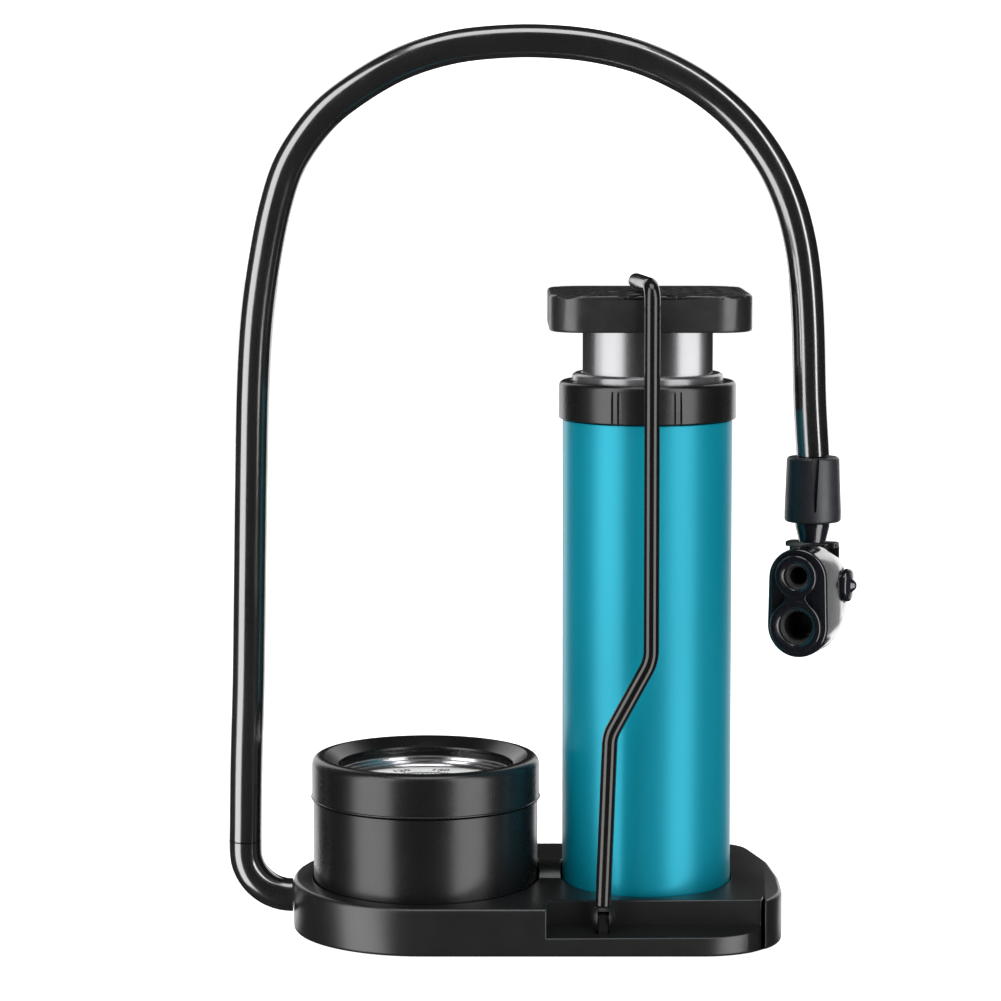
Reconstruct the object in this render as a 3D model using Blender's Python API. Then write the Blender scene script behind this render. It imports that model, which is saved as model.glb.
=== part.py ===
"""Compact foot pump with a pressure gauge, a spring plunger, a wire bail and a twin valve head.

Lengths below are in millimetres and MM turns them into metres.
Frame: +Z up, +X from the gauge towards the barrel, -Y is the side the bail stands on.
The origin is under the middle of the base, where it rests.
"""
import math

import bmesh
import bpy
from mathutils import Vector

MM = 0.001
GAP = 0.3

# base
BASE_LEFT = -65.0
BASE_RIGHT = 65.0
BASE_HALF_DEPTH = 35.0
BASE_BOTTOM = 0.4
BASE_FRONT_TOP = 13.0
TOP_SLOPE = 0.035
SEAT_FLOOR = 12.2
CAVITY_TOP = 10.7
PLATE_TOP = 3.0
FOOT_SPOTS = [(-55.0, -9.0), (-55.0, 9.0), (42.0, -24.0), (41.0, 25.0)]
SCREW_SPOTS = [(-50.5, -20.5), (-50.5, 20.5), (56.0, -13.0), (52.0, 24.0)]

# trough at the front and the bail's pivot in it
TROUGH_X = (2.4, 59.5)
TROUGH_BACK = -25.5
TROUGH_FLOOR_BACK = 6.6
TROUGH_FLOOR_FRONT = 5.5
BAIL_X = 17.1
BAIL_Y = -30.0
BAIL_Z = 10.0
BAIL_WIRE_R = 2.05

# gauge
GAUGE_X = -29.6
HOUSING_R = 30.0
BEZEL_R = 30.4
SEAM_Z = 35.5
BEZEL_TOP = 47.0
WINDOW_R = 23.4
DIAL_Z = 38.2
SECTOR_R = 13.35
PINION_R = 1.45
SECTOR_Y = -15.0

# barrel and plunger
BARREL_X = 29.5
BARREL_R = 22.5
BORE_R = 21.0
BARREL_BOTTOM = 12.5
BARREL_TOP = 137.2
CAP_R = 23.45
CAP_TOP = 147.5
PLUNGER_R = 17.25
PISTON_Z = 50.0
FOOT_TOP = 22.0
PEDAL_BOTTOM = 161.6
PEDAL_SIDE_TOP = 171.3
PEDAL_HALF_X = 26.4
PEDAL_HALF_Y = 27.0
PEDAL_CORNER = 10.0

# air line and hose
AIR_Z = 8.8
HOSE_R = 4.4
HOSE_X = -78.0
HOSE_START_Z = 23.8

# pump head
HEAD_X = 73.6
HEAD_TURN = -24.0
FACE_Y = -12.5
UPPER_PORT_Z = 96.5
LOWER_PORT_Z = 83.2
LEVER_Y = 4.8
LEVER_Z = 92.5


def clear_scene():
    for obj in list(bpy.data.objects):
        bpy.data.objects.remove(obj, do_unlink=True)
    for store in (bpy.data.meshes, bpy.data.curves, bpy.data.materials):
        for item in list(store):
            store.remove(item)


def material(name, colour, roughness, metallic=0.0, alpha=1.0):
    mat = bpy.data.materials.new(name)
    mat.use_nodes = True
    shader = mat.node_tree.nodes["Principled BSDF"]
    shader.inputs["Base Color"].default_value = (*colour, 1.0)
    shader.inputs["Roughness"].default_value = roughness
    shader.inputs["Metallic"].default_value = metallic
    shader.inputs["Alpha"].default_value = alpha
    return mat


def empty(name, at, turn=0.0):
    obj = bpy.data.objects.new(name, None)
    obj.location = Vector(at) * MM
    obj.rotation_euler = (0.0, 0.0, math.radians(turn))
    bpy.context.scene.collection.objects.link(obj)
    return obj


def place(obj, mat, at, parent):
    obj.location = Vector(at) * MM
    if mat is not None:
        obj.data.materials.append(mat)
    bpy.context.scene.collection.objects.link(obj)
    if parent is not None:
        obj.parent = parent
    return obj


def mesh_object(name, bm, mat=None, at=(0, 0, 0), parent=None):
    bmesh.ops.remove_doubles(bm, verts=bm.verts, dist=1e-6)
    bmesh.ops.recalc_face_normals(bm, faces=bm.faces)
    mesh = bpy.data.meshes.new(name)
    bm.to_mesh(mesh)
    bm.free()
    mesh.shade_smooth()
    mesh.set_sharp_from_angle(angle=math.radians(32))
    return place(bpy.data.objects.new(name, mesh), mat, at, parent)


def turned(name, profile, mat=None, at=(0, 0, 0), parent=None, steps=28, axis="Z"):
    """Spin a profile of (radius, height) points; it may start and end on the axis."""
    bm = bmesh.new()
    verts = [bm.verts.new((r * MM, 0.0, z * MM)) for r, z in profile]
    on_axis = profile[0][0] == 0.0 and profile[-1][0] == 0.0
    pairs = list(zip(verts, verts[1:]))
    if not on_axis:
        pairs.append((verts[-1], verts[0]))
    edges = [bm.edges.new(pair) for pair in pairs]
    bmesh.ops.spin(bm, geom=verts + edges, cent=(0, 0, 0), axis=(0, 0, 1), dvec=(0, 0, 0),
                   angle=2 * math.pi, steps=steps, use_merge=True, use_duplicate=False)
    for v in bm.verts:
        x, y, z = v.co
        if axis == "X":
            v.co = (z, x, y)
        if axis == "Y":
            v.co = (y, z, x)
    return mesh_object(name, bm, mat, at, parent)


def disc(r, z0, z1, chamfer=0.0):
    """Profile of a solid round piece."""
    if chamfer == 0.0:
        return [(0.0, z0), (r, z0), (r, z1), (0.0, z1)]
    c = chamfer
    return [(0.0, z0), (r - c, z0), (r, z0 + c), (r, z1 - c), (r - c, z1), (0.0, z1)]


def ring(r_in, r_out, z0, z1):
    """Profile of a round piece with a bore."""
    return [(r_in, z0), (r_out, z0), (r_out, z1), (r_in, z1)]


def o_ring(major, minor, z, sides=6):
    turns = [2 * math.pi * k / sides for k in range(sides)]
    return [(major + minor * math.cos(t), z + minor * math.sin(t)) for t in turns]


def skinned(name, sections, mat=None, at=(0, 0, 0), parent=None):
    """Join a row of matching outlines and close both ends."""
    bm = bmesh.new()
    rows = [[bm.verts.new(Vector(p) * MM) for p in section] for section in sections]
    count = len(rows[0])
    bm.faces.new(rows[0])
    bm.faces.new(rows[-1])
    for low, high in zip(rows, rows[1:]):
        for k in range(count):
            n = (k + 1) % count
            bm.faces.new((low[k], low[n], high[n], high[k]))
    return mesh_object(name, bm, mat, at, parent)


def box(name, low, high, mat=None, at=(0, 0, 0), parent=None):
    corners = [(low[0], low[1]), (high[0], low[1]), (high[0], high[1]), (low[0], high[1])]
    sections = [[(x, y, z) for x, y in corners] for z in (low[2], high[2])]
    return skinned(name, sections, mat, at, parent)


def rounded_outline(corners, steps=6):
    """Round each (x, y, radius) corner of a polygon with an arc."""
    points = []
    count = len(corners)
    for k in range(count):
        here = Vector(corners[k][:2])
        radius = corners[k][2]
        back = (Vector(corners[k - 1][:2]) - here).normalized()
        ahead = (Vector(corners[(k + 1) % count][:2]) - here).normalized()
        half = math.acos(max(-1.0, min(1.0, back.dot(ahead)))) / 2
        reach = radius / math.tan(half)
        centre = here + (back + ahead).normalized() * (radius / math.sin(half))
        first = here + back * reach - centre
        last = here + ahead * reach - centre
        sweep = first.angle_signed(last)
        for s in range(steps + 1):
            a = -sweep * s / steps
            turned_x = first.x * math.cos(a) - first.y * math.sin(a)
            turned_y = first.x * math.sin(a) + first.y * math.cos(a)
            points.append((centre.x + turned_x, centre.y + turned_y))
    return points


def rounded_route(corners, steps=6):
    """Round each (x, y, z, radius) corner of an open route with an arc."""
    points = [tuple(corners[0][:3])]
    for k in range(1, len(corners) - 1):
        here = Vector(corners[k][:3])
        back = (Vector(corners[k - 1][:3]) - here).normalized()
        ahead = (Vector(corners[k + 1][:3]) - here).normalized()
        half = back.angle(ahead) / 2
        radius = corners[k][3]
        centre = here + (back + ahead).normalized() * (radius / math.sin(half))
        first = here + back * (radius / math.tan(half)) - centre
        last = here + ahead * (radius / math.tan(half)) - centre
        sweep = first.angle(last)
        for s in range(steps + 1):
            a = sweep * s / steps
            step = first * math.sin(sweep - a) + last * math.sin(a)
            points.append(tuple(centre + step / math.sin(sweep)))
    points.append(tuple(corners[-1][:3]))
    return points


def round_bar(name, points, radius, mat, at=(0, 0, 0), parent=None, sides=3, tip=()):
    """Round bar or tube along a route; tip holds the size of the last points, for a rounded end."""
    curve = bpy.data.curves.new(name, "CURVE")
    curve.dimensions = "3D"
    curve.bevel_depth = radius * MM
    curve.bevel_resolution = sides
    curve.use_fill_caps = True
    spline = curve.splines.new("POLY")
    spline.points.add(len(points) - 1)
    for point, co in zip(spline.points, points):
        point.co = (co[0] * MM, co[1] * MM, co[2] * MM, 1.0)
    for point, size in zip(reversed(spline.points), tip):
        point.radius = size
    spline.use_smooth = True
    return place(bpy.data.objects.new(name, curve), mat, at, parent)


def smooth_through(points, spacing):
    """Even points along a Catmull-Rom curve through the given ones."""
    knots = [Vector(p) for p in points]
    knots = [2 * knots[0] - knots[1]] + knots + [2 * knots[-1] - knots[-2]]
    fine = []
    for a, b, c, d in zip(knots, knots[1:], knots[2:], knots[3:]):
        for s in range(12):
            t = s / 12
            fine.append(0.5 * (2 * b + (c - a) * t + (2 * a - 5 * b + 4 * c - d) * t * t
                               + (3 * b - a - 3 * c + d) * t ** 3))
    fine.append(knots[-2])
    lengths = [0.0]
    for p, q in zip(fine, fine[1:]):
        lengths.append(lengths[-1] + (q - p).length)
    count = round(lengths[-1] / spacing)
    result = []
    k = 0
    for s in range(count + 1):
        goal = lengths[-1] * s / count
        while k < len(fine) - 2 and lengths[k + 1] < goal:
            k += 1
        share = (goal - lengths[k]) / (lengths[k + 1] - lengths[k])
        result.append(tuple(fine[k].lerp(fine[k + 1], share)))
    return result


def combine(target, tool, operation="DIFFERENCE"):
    """Cut or add a hidden tool shape."""
    tool.hide_render = True
    tool.display_type = "WIRE"
    modifier = target.modifiers.new(tool.name, "BOOLEAN")
    modifier.operation = operation
    modifier.object = tool
    modifier.solver = "EXACT"
    return target


def bore(target, name, r, z0, z1, at=(0, 0, 0), parent=None, steps=20, axis="Z"):
    tool = turned("cut_" + name, disc(r, z0, z1), at=at, parent=parent, steps=steps, axis=axis)
    return combine(target, tool)


# ---------------------------------------------------------------- base

def base_outline(inset, front_corner=22.0):
    i = inset
    d = BASE_HALF_DEPTH
    corners = [(BASE_LEFT + i, -d + i, d - i), (64.6 - i, -d + i, front_corner - i),
               (BASE_RIGHT - i, -2.0, 20.0), (63.4 - i, 14.0, 30.0),
               (57.5 - i, d - i, 9.0 - i), (BASE_LEFT + i, d - i, d - i)]
    return rounded_outline(corners)


def base_top(y):
    return BASE_FRONT_TOP + TOP_SLOPE * (y + BASE_HALF_DEPTH)


def build_base_shell(plastic):
    edge = base_outline(0.0)
    soft = base_outline(0.35)
    inner = base_outline(1.1)
    sections = [[(x, y, BASE_BOTTOM) for x, y in base_outline(0.5)],
                [(x, y, BASE_BOTTOM + 0.6) for x, y in edge],
                [(x, y, base_top(y) - 1.1) for x, y in edge],
                [(x, y, base_top(y) - 0.35) for x, y in soft],
                [(x, y, base_top(y)) for x, y in inner]]
    shell = skinned("base_shell", sections, plastic)
    saddle = turned("add_saddle", disc(10.0, -4.3, 14.1), at=(0, 4.2, 7.55), steps=40, axis="X")
    combine(shell, saddle, "UNION")
    trough = [(-45.0, TROUGH_FLOOR_FRONT - 1.15), (TROUGH_BACK, TROUGH_FLOOR_BACK),
              (TROUGH_BACK, 30.0), (-45.0, 30.0)]
    combine(shell, skinned("cut_trough", [[(x, y, z) for y, z in trough] for x in TROUGH_X]))
    notch = [math.radians(a) for a in range(-50, 1, 10)]
    notch = [(TROUGH_X[1] - 14.0 + 14.0 * math.cos(a), -21.0 + 14.0 * math.sin(a)) for a in notch]
    notch += [(TROUGH_X[1], -40.0), (notch[0][0], -40.0)]
    combine(shell, skinned("cut_notch", [[(x, y, z) for x, y in notch] for z in (-7.0, 29.0)]))
    for name, x, r in (("gauge", GAUGE_X, HOUSING_R + GAP), ("barrel", BARREL_X, BARREL_R + GAP)):
        seat = [(0.0, 9.0), (1.9, 9.0), (1.9, SEAT_FLOOR), (r, SEAT_FLOOR), (r, 40.0), (0.0, 40.0)]
        combine(shell, turned(f"cut_{name}_seat", seat, at=(x, 0, 0), steps=40))
    plate_recess = [[(x, y, z) for x, y in base_outline(1.8, 31.0)] for z in (-6.0, PLATE_TOP + GAP)]
    combine(shell, skinned("cut_plate_recess", plate_recess))
    bore(shell, "gauge_cavity", 26.5, 2.0, CAVITY_TOP, (GAUGE_X, 0, 0), steps=28)
    combine(shell, box("cut_barrel_cavity", (-8.2, -21.4, 2.1), (47.0, 29.1, CAVITY_TOP - 0.05)))
    bore(shell, "air_exit", 1.75, -70.0, -50.0, (0, 0, AIR_Z), steps=20, axis="X")
    for k, (x, y) in enumerate(SCREW_SPOTS):
        bore(shell, f"screw_{k}", 1.5, 2.0, 9.4, (x, y, 0), steps=12)
    combine(shell, box("cut_lug_slot", (-1.5, -1.8, 4.3), (1.5, 1.8, 9.0), at=(BAIL_X, BAIL_Y, 0)))
    return shell


def build_base_plate(plastic):
    outline = base_outline(2.1, 31.0)
    plate = skinned("base_plate", [[(x, y, z) for x, y in outline] for z in (0.6, PLATE_TOP)], plastic)
    for k, (x, y) in enumerate(SCREW_SPOTS):
        bore(plate, f"head_{k}", 2.9, 0.0, 2.0, (x, y, 0), steps=14)
        bore(plate, f"shank_{k}", 1.5, 1.0, 4.0, (x, y, 0), steps=12)
    for k, (x, y) in enumerate(FOOT_SPOTS):
        bore(plate, f"foot_{k}", 5.3, 0.0, 1.8, (x, y, 0), steps=18)
    return plate


def build_feet_and_screws(rubber, steel):
    for k, (x, y) in enumerate(FOOT_SPOTS):
        turned(f"base_foot_{k + 1}", disc(5.0, 0.0, 1.5, 0.3), rubber, (x, y, 0), steps=18)
    screw = [(0.0, 0.6), (1.9, 0.6), (2.6, 1.0), (2.6, 1.7), (1.2, 1.7), (1.2, 9.1), (0.0, 9.1)]
    for k, (x, y) in enumerate(SCREW_SPOTS):
        body = turned(f"base_screw_{k + 1}", screw, steel, (x, y, 0), steps=12)
        for name, sx, sy in (("along", 1.5, 0.3), ("across", 0.3, 1.5)):
            slot = box(f"cut_{name}_{k}", (-sx, -sy, 0.0), (sx, sy, 1.2), at=(x, y, 0))
            combine(body, slot)


def build_air_pipe(brass):
    """One pipe joins the barrel, the gauge and the hose inside the base."""
    pipe = turned("air_pipe", ring(0.9, 1.6, -64.7, 31.1), brass, (0, 0, AIR_Z), steps=12, axis="X")
    for k, x in enumerate((GAUGE_X, BARREL_X)):
        riser = turned(f"add_riser_{k}", disc(1.55, 1.2, SEAT_FLOOR - AIR_Z), at=(x, 0, AIR_Z), steps=12)
        combine(pipe, riser, "UNION")


# ---------------------------------------------------------------- gauge

def build_gauge_case(plastic, clear, silver):
    r = HOUSING_R
    housing = [(4.3, 12.5), (r - 0.6, 12.5), (r, 13.1), (r, SEAM_Z - 0.4), (r - 0.3, SEAM_Z - 0.1),
               (27.0, SEAM_Z - 0.1), (27.0, DIAL_Z - GAP), (23.8, DIAL_Z - GAP), (23.8, 33.0),
               (28.0, 30.0), (28.0, 14.5), (4.3, 14.5)]
    turned("gauge_housing", housing, plastic, (GAUGE_X, 0, 0), steps=40)
    b = BEZEL_R
    bezel = [(27.3, SEAM_Z + 0.2), (b - 0.3, SEAM_Z + 0.2), (b, SEAM_Z + 0.6), (b, 44.7), (b - 0.3, 45.3),
             (b - 1.2, 46.3), (b - 2.2, 46.85), (27.4, BEZEL_TOP), (26.8, 46.8), (WINDOW_R + 0.2, 44.7),
             (WINDOW_R, 44.5), (WINDOW_R, 44.1), (27.3, 44.1)]
    turned("gauge_bezel", bezel, plastic, (GAUGE_X, 0, 0), steps=40)
    lens = [(0.0, 42.4), (26.9, 42.4), (26.9, 43.8), (WINDOW_R - 0.4, 43.8), (15.0, 44.25), (0.0, 44.5)]
    turned("gauge_lens", lens, clear, (GAUGE_X, 0, 0), steps=28)
    wall = [(WINDOW_R, DIAL_Z + 1.1), (26.9, DIAL_Z + 1.1), (26.9, 42.1), (WINDOW_R + 0.3, 42.1)]
    turned("gauge_inner_ring", wall, silver, (GAUGE_X, 0, 0), steps=28)


def build_dial_and_needle(white, black, brass, needle_axis):
    turned("gauge_dial", ring(1.3, 26.9, DIAL_Z, DIAL_Z + 0.8), white, (GAUGE_X, 0, 0), steps=28)
    arbor = [(0.0, 23.0), (0.8, 23.0), (0.8, 25.9), (PINION_R, 25.9), (PINION_R, 28.1), (0.8, 28.1),
             (0.8, 39.6), (0.0, 39.6)]
    turned("needle_arbor", arbor, brass, parent=needle_axis, steps=14)
    long_side = [(4.2, 1.1), (9.0, 0.75), (17.4, 0.0)]
    outline = long_side + [(x, -w) for x, w in reversed(long_side[:-1])]
    outline += [(-2.6, -1.25), (-6.2, -1.8), (-6.2, 1.8), (-2.6, 1.25)]
    turn = math.radians(-57.0)
    blade = []
    for x, y in outline:
        blade.append((x * math.cos(turn) - y * math.sin(turn), x * math.sin(turn) + y * math.cos(turn)))
    needle = skinned("gauge_needle", [[(x, y, z) for x, y in blade] for z in (40.0, 40.5)], black,
                     parent=needle_axis)
    hub = turned("add_needle_hub", disc(2.0, 39.9, 41.2, 0.3), parent=needle_axis, steps=14)
    combine(needle, hub, "UNION")


def build_gauge_movement(brass, steel, sector_axis):
    at = (GAUGE_X, 0, 0)
    socket = turned("gauge_socket", disc(4.0, 12.5, 22.0), brass, at, steps=16)
    combine(socket, box("add_socket_block", (-3.2, -19.0, 14.8), (3.2, 4.2, 21.5), at=at), "UNION")
    bore(socket, "socket_air", 1.0, 12.0, 17.0, at, steps=16)
    arc = [math.radians(a) for a in range(-70, 201, 18)]
    loop = [(GAUGE_X + 15.0 * math.cos(a), 15.0 * math.sin(a), 18.5) for a in arc]
    round_bar("bourdon_tube", loop, 1.7, brass, sides=2)
    outline = rounded_outline([(-6, -19, 2), (6, -19, 2), (6, 5, 2), (-6, 5, 2)], steps=3)
    plate = skinned("movement_plate", [[(x, y, z) for x, y in outline] for z in (24.0, 25.0)], brass, at)
    for k, (x, y) in enumerate(((-2.0, 3.0), (2.0, -17.5))):
        post = turned(f"add_post_{k}", disc(1.0, 22.3, 24.5), at=(GAUGE_X + x, y, 0), steps=16)
        combine(plate, post, "UNION")
    for k, y in enumerate((0.0, SECTOR_Y)):
        bore(plate, f"arbor_{k}", 1.1, 23.5, 25.5, (GAUGE_X, y, 0), steps=16)
    angles = [math.radians(a) for a in range(56, 97, 5)]
    wedge = [(SECTOR_R * math.cos(a), SECTOR_R * math.sin(a)) for a in angles]
    wedge += [(-1.6, 1.2), (-1.6, -1.2), (1.6, -1.2)]
    sector = skinned("sector_gear", [[(x, y, z) for x, y in wedge] for z in (26.2, 27.4)], steel,
                     parent=sector_axis)
    arbor = turned("add_sector_arbor", disc(0.8, 23.0, 28.2), parent=sector_axis, steps=16)
    combine(sector, arbor, "UNION")


# ---------------------------------------------------------------- barrel

def build_barrel(teal, plastic, alloy, rubber, grey):
    at = (BARREL_X, 0, 0)
    barrel = ring(BORE_R, BARREL_R, BARREL_BOTTOM, BARREL_TOP)
    turned("barrel", barrel, teal, at, steps=40)
    foot = [(3.2, 12.5), (20.7, 12.5), (20.7, 16.0), (18.9, 16.0), (18.9, 18.2), (20.7, 18.2),
            (20.7, FOOT_TOP), (5.0, FOOT_TOP), (5.0, 18.0), (3.2, 17.0)]
    turned("barrel_foot", foot, alloy, at)
    turned("barrel_seal", o_ring(20.05, 0.85, 17.1), rubber, at)
    valve = [(0.0, 13.5), (1.2, 13.5), (2.9, 18.6), (4.7, 18.6), (4.7, 20.0), (2.2, 20.0), (0.6, 15.5),
             (0.0, 15.5)]
    turned("check_valve", valve, rubber, at, steps=14)
    c = CAP_R
    cap = [(18.9, 130.0), (20.7, 130.0), (20.7, 137.5), (c - 0.3, 137.5), (c, 137.8), (c, CAP_TOP - 0.9),
           (c - 0.3, CAP_TOP - 0.25), (c - 1.0, CAP_TOP), (20.6, CAP_TOP), (20.3, CAP_TOP - 0.3),
           (20.3, 145.9), (18.9, 145.9)]
    cap_part = turned("barrel_cap", cap, plastic, at, steps=40)
    for k, angle in enumerate((-22.8, 16.6, 157.2, 196.6)):
        for side in (-2.1, 2.1):
            turn = math.radians(angle + side - 90.0)
            groove = box(f"cut_groove_{k}_{side > 0}", (c - 0.9, -0.35, 137.0),
                         (c + 2.0, 0.35, CAP_TOP - 1.6), at=at)
            groove.rotation_euler = (0.0, 0.0, turn)
            combine(cap_part, groove)
    turned("guide_bush", ring(PLUNGER_R + 0.15, 18.6, 130.3, 145.6), grey, at)
    wiper = [(PLUNGER_R + 0.15, 146.2), (20.0, 146.2), (20.0, 148.8), (19.6, 149.4), (19.0, 149.6),
             (17.9, 149.6), (PLUNGER_R + 0.15, 149.1)]
    turned("wiper_ring", wiper, grey, at)


def spring_route(radius, wire, low, high, turns):
    """Helix with flat end coils."""
    points = []
    steps = 12
    total = round(turns * steps)
    for k in range(total + 1):
        a = 2 * math.pi * k / steps
        share = min(max((k - steps * 0.8) / (total - steps * 1.6), 0.0), 1.0)
        pitch = wire * 2.15
        z = low + wire + pitch * min(k, steps * 0.8) / steps
        z += pitch * max(0.0, k - total + steps * 0.8) / steps
        z += share * (high - low - 2 * wire - 1.6 * pitch)
        points.append((radius * math.cos(a), radius * math.sin(a), z))
    return points


def build_plunger(chrome, alloy, rubber, steel, axis):
    turned("plunger_tube", ring(15.6, PLUNGER_R, PISTON_Z + 7.3, 167.0), chrome, parent=axis, steps=40)
    p = PISTON_Z
    piston = [(0.0, p), (20.6, p), (20.6, p + 2.2), (18.3, p + 2.2), (18.3, p + 5.0), (20.6, p + 5.0),
              (20.6, p + 7.0), (15.3, p + 7.0), (15.3, p + 13.0), (12.0, p + 13.0), (12.0, p + 3.0),
              (0.0, p + 3.0)]
    turned("piston", piston, alloy, parent=axis)
    turned("piston_seal", o_ring(19.65, 1.2, p + 3.6), rubber, parent=axis)
    route = spring_route(17.0, 1.05, FOOT_TOP + GAP, p - GAP, 6.0)
    round_bar("return_spring", route, 1.05, steel, (BARREL_X, 0, 0), sides=1)


def pedal_outline(inset):
    x = PEDAL_HALF_X - inset
    y = PEDAL_HALF_Y - inset
    r = PEDAL_CORNER - min(inset, 6.0)
    return rounded_outline([(-x, -y, r), (x, -y, r), (x, y, r), (-x, y, r)], steps=5)


def build_pedal(plastic, axis):
    top = PEDAL_SIDE_TOP
    sections = [[(x, y, PEDAL_BOTTOM) for x, y in pedal_outline(0.6)],
                [(x, y, PEDAL_BOTTOM + 0.6) for x, y in pedal_outline(0.0)],
                [(x, y, top - 0.8) for x, y in pedal_outline(0.0)],
                [(x, y, top - 0.25) for x, y in pedal_outline(0.25)],
                [(x, y, top) for x, y in pedal_outline(0.9)],
                [(x, y, top + 0.3) for x, y in pedal_outline(7.0)],
                [(x, y, top + 0.4) for x, y in pedal_outline(15.0)]]
    pedal = skinned("pedal", sections, plastic, parent=axis)
    recess = [[(x, y, z) for x, y in pedal_outline(2.4)] for z in (158.0, 168.2)]
    hollow = skinned("cut_pedal_hollow", recess, parent=axis)
    boss = turned("cut_boss_room", disc(19.6, 157.0, 169.0), parent=axis, steps=28)
    combine(hollow, boss)
    combine(pedal, hollow)
    bore(pedal, "tube_socket", PLUNGER_R + GAP, 158.0, 167.3, parent=axis, steps=28)


# ---------------------------------------------------------------- bail

def build_bail(steel, black, swing):
    """The route is measured from the pivot."""
    at = (BAIL_X, BAIL_Y, BAIL_Z)
    route = [(0.0, 0.0, 3.1, 0.0),
             (1.7, 0.3, 47.5, 9.0),
             (12.3, 0.4, 67.0, 11.0),
             (12.3, 0.4, 163.8, 4.0),
             (9.0, 23.0, 164.2, 0.0)]
    points = rounded_route(route, steps=6)
    end = Vector(points[-1])
    before = (end - Vector(points[-2])).normalized()
    points += [tuple(end + before * 1.2), tuple(end + before * 1.8)]
    round_bar("bail_wire", points, BAIL_WIRE_R, steel, parent=swing, sides=3, tip=(0.35, 0.8))
    arc = [math.radians(a) for a in range(-90, 60, 20)]
    ball = [(0.0, -3.3)] + [(3.3 * math.cos(a), 3.3 * math.sin(a)) for a in arc[1:]]
    ball += [(1.8, 2.8), (0.0, 2.8)]
    knuckle = turned("bail_knuckle", ball, black, parent=swing, steps=16)
    quarter = [math.radians(a) for a in range(0, 91, 15)]
    slot = [(-6.0, -6.0), (1.9, -6.0)] + [(1.9 * math.cos(a), 1.9 * math.sin(a)) for a in quarter]
    slot += [(-6.0, 1.9)]
    slot_tool = skinned("cut_knuckle_slot", [[(x, y, z) for y, z in slot] for x in (-1.5, 1.5)],
                        parent=swing)
    combine(knuckle, slot_tool)
    bore(knuckle, "knuckle_pin", 0.9, -4.0, 4.0, parent=swing, steps=16, axis="X")
    turned("bail_pin", disc(0.8, -3.0, 3.0), steel, at, steps=16, axis="X")
    half_turn = [math.radians(a) for a in range(0, 181, 20)]
    side = [(-1.5, 4.6 - BAIL_Z), (1.5, 4.6 - BAIL_Z)]
    side += [(1.5 * math.cos(a), 1.5 * math.sin(a)) for a in half_turn]
    lug = skinned("bail_lug", [[(x, y, z) for y, z in side] for x in (-1.2, 1.2)], black, at)
    bore(lug, "lug_pin", 0.9, -2.0, 2.0, at, steps=16, axis="X")


# ---------------------------------------------------------------- hose and head

HOSE_ROUTE = [(HOSE_X, 0, HOSE_START_Z), (-77.6, 0, 45.4), (-76.9, 0, 66.9), (-76.3, 0, 99.3),
              (-75.9, 0, 120.8), (-75.3, 0, 145.1), (-74.1, 0, 163.9), (-71.8, 0, 180.2),
              (-68.9, 0, 194.0), (-65.0, 0, 205.2), (-57.9, 0, 215.6), (-49.6, 0, 223.0),
              (-36.7, 0, 230.7), (-23.3, 0, 235.1), (-9.9, 0, 236.8), (3.4, 0, 236.9),
              (16.8, 0, 235.4), (30.1, 0, 231.7), (43.0, 0, 225.1), (53.7, 0, 216.2),
              (61.6, 0, 205.8), (66.6, 0, 195.4), (69.6, 0, 184.9), (71.2, 0, 174.4),
              (72.1, 0, 161.3), (72.7, 0, 142.4), (HEAD_X, 0, 127.4)]


def build_hose(rubber):
    corners = [(BASE_LEFT - GAP, 0, AIR_Z, 0), (HOSE_X, 0, AIR_Z, 12.5),
               (HOSE_X, 0, HOSE_START_Z - GAP, 0)]
    round_bar("hose_elbow", rounded_route(corners, steps=8), HOSE_R, rubber, sides=3)
    round_bar("hose", smooth_through(HOSE_ROUTE, 14.0), HOSE_R, rubber, sides=3)


def head_outline():
    """Two round ends, one around each port, joined by straight sides."""
    upper = [math.radians(a) for a in range(0, 181, 20)]
    lower = [math.radians(a) for a in range(180, 361, 20)]
    points = [(8.0 * math.cos(a), UPPER_PORT_Z - 0.7 + 8.0 * math.sin(a)) for a in upper]
    points += [(8.3 * math.cos(a), LOWER_PORT_Z + 8.3 * math.sin(a)) for a in lower]
    return points


def head_section(y, wide, up, down):
    middle = 92.0
    section = []
    for x, z in head_outline():
        share = up if z > middle else down
        section.append((x * wide, y, middle + (z - middle) * share))
    return section


def build_head_body(plastic, head):
    sections = [head_section(FACE_Y, 0.92, 0.94, 0.96),
                head_section(FACE_Y + 0.8, 1.0, 1.0, 1.0),
                head_section(-2.0, 1.0, 1.0, 0.98),
                head_section(4.0, 0.95, 0.86, 0.78),
                head_section(8.0, 0.86, 0.76, 0.58),
                head_section(9.0, 0.76, 0.66, 0.48)]
    body = skinned("head_body", sections, plastic, parent=head)
    bore(body, "upper_port", 4.2, FACE_Y - 2.0, -2.5, (0, 0, UPPER_PORT_Z), head, 20, "Y")
    bore(body, "lower_port", 5.6, FACE_Y - 2.0, -2.5, (0, 0, LOWER_PORT_Z), head, 20, "Y")
    bore(body, "head_air", 1.4, 82.0, 110.0, (0, -2.0, 0), head, 16)
    slot = box("cut_lever_slot", (-2.8, LEVER_Y - 3.0, LEVER_Z - 3.2), (2.8, 20.0, 110.0), parent=head)
    combine(body, slot)
    bore(body, "lever_pin", 1.35, -12.0, 12.0, (0, LEVER_Y, LEVER_Z), head, 20, "X")
    bore(body, "pin_seat", 4.8, 7.2, 12.0, (0, LEVER_Y, LEVER_Z), head, 24, "X")


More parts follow.
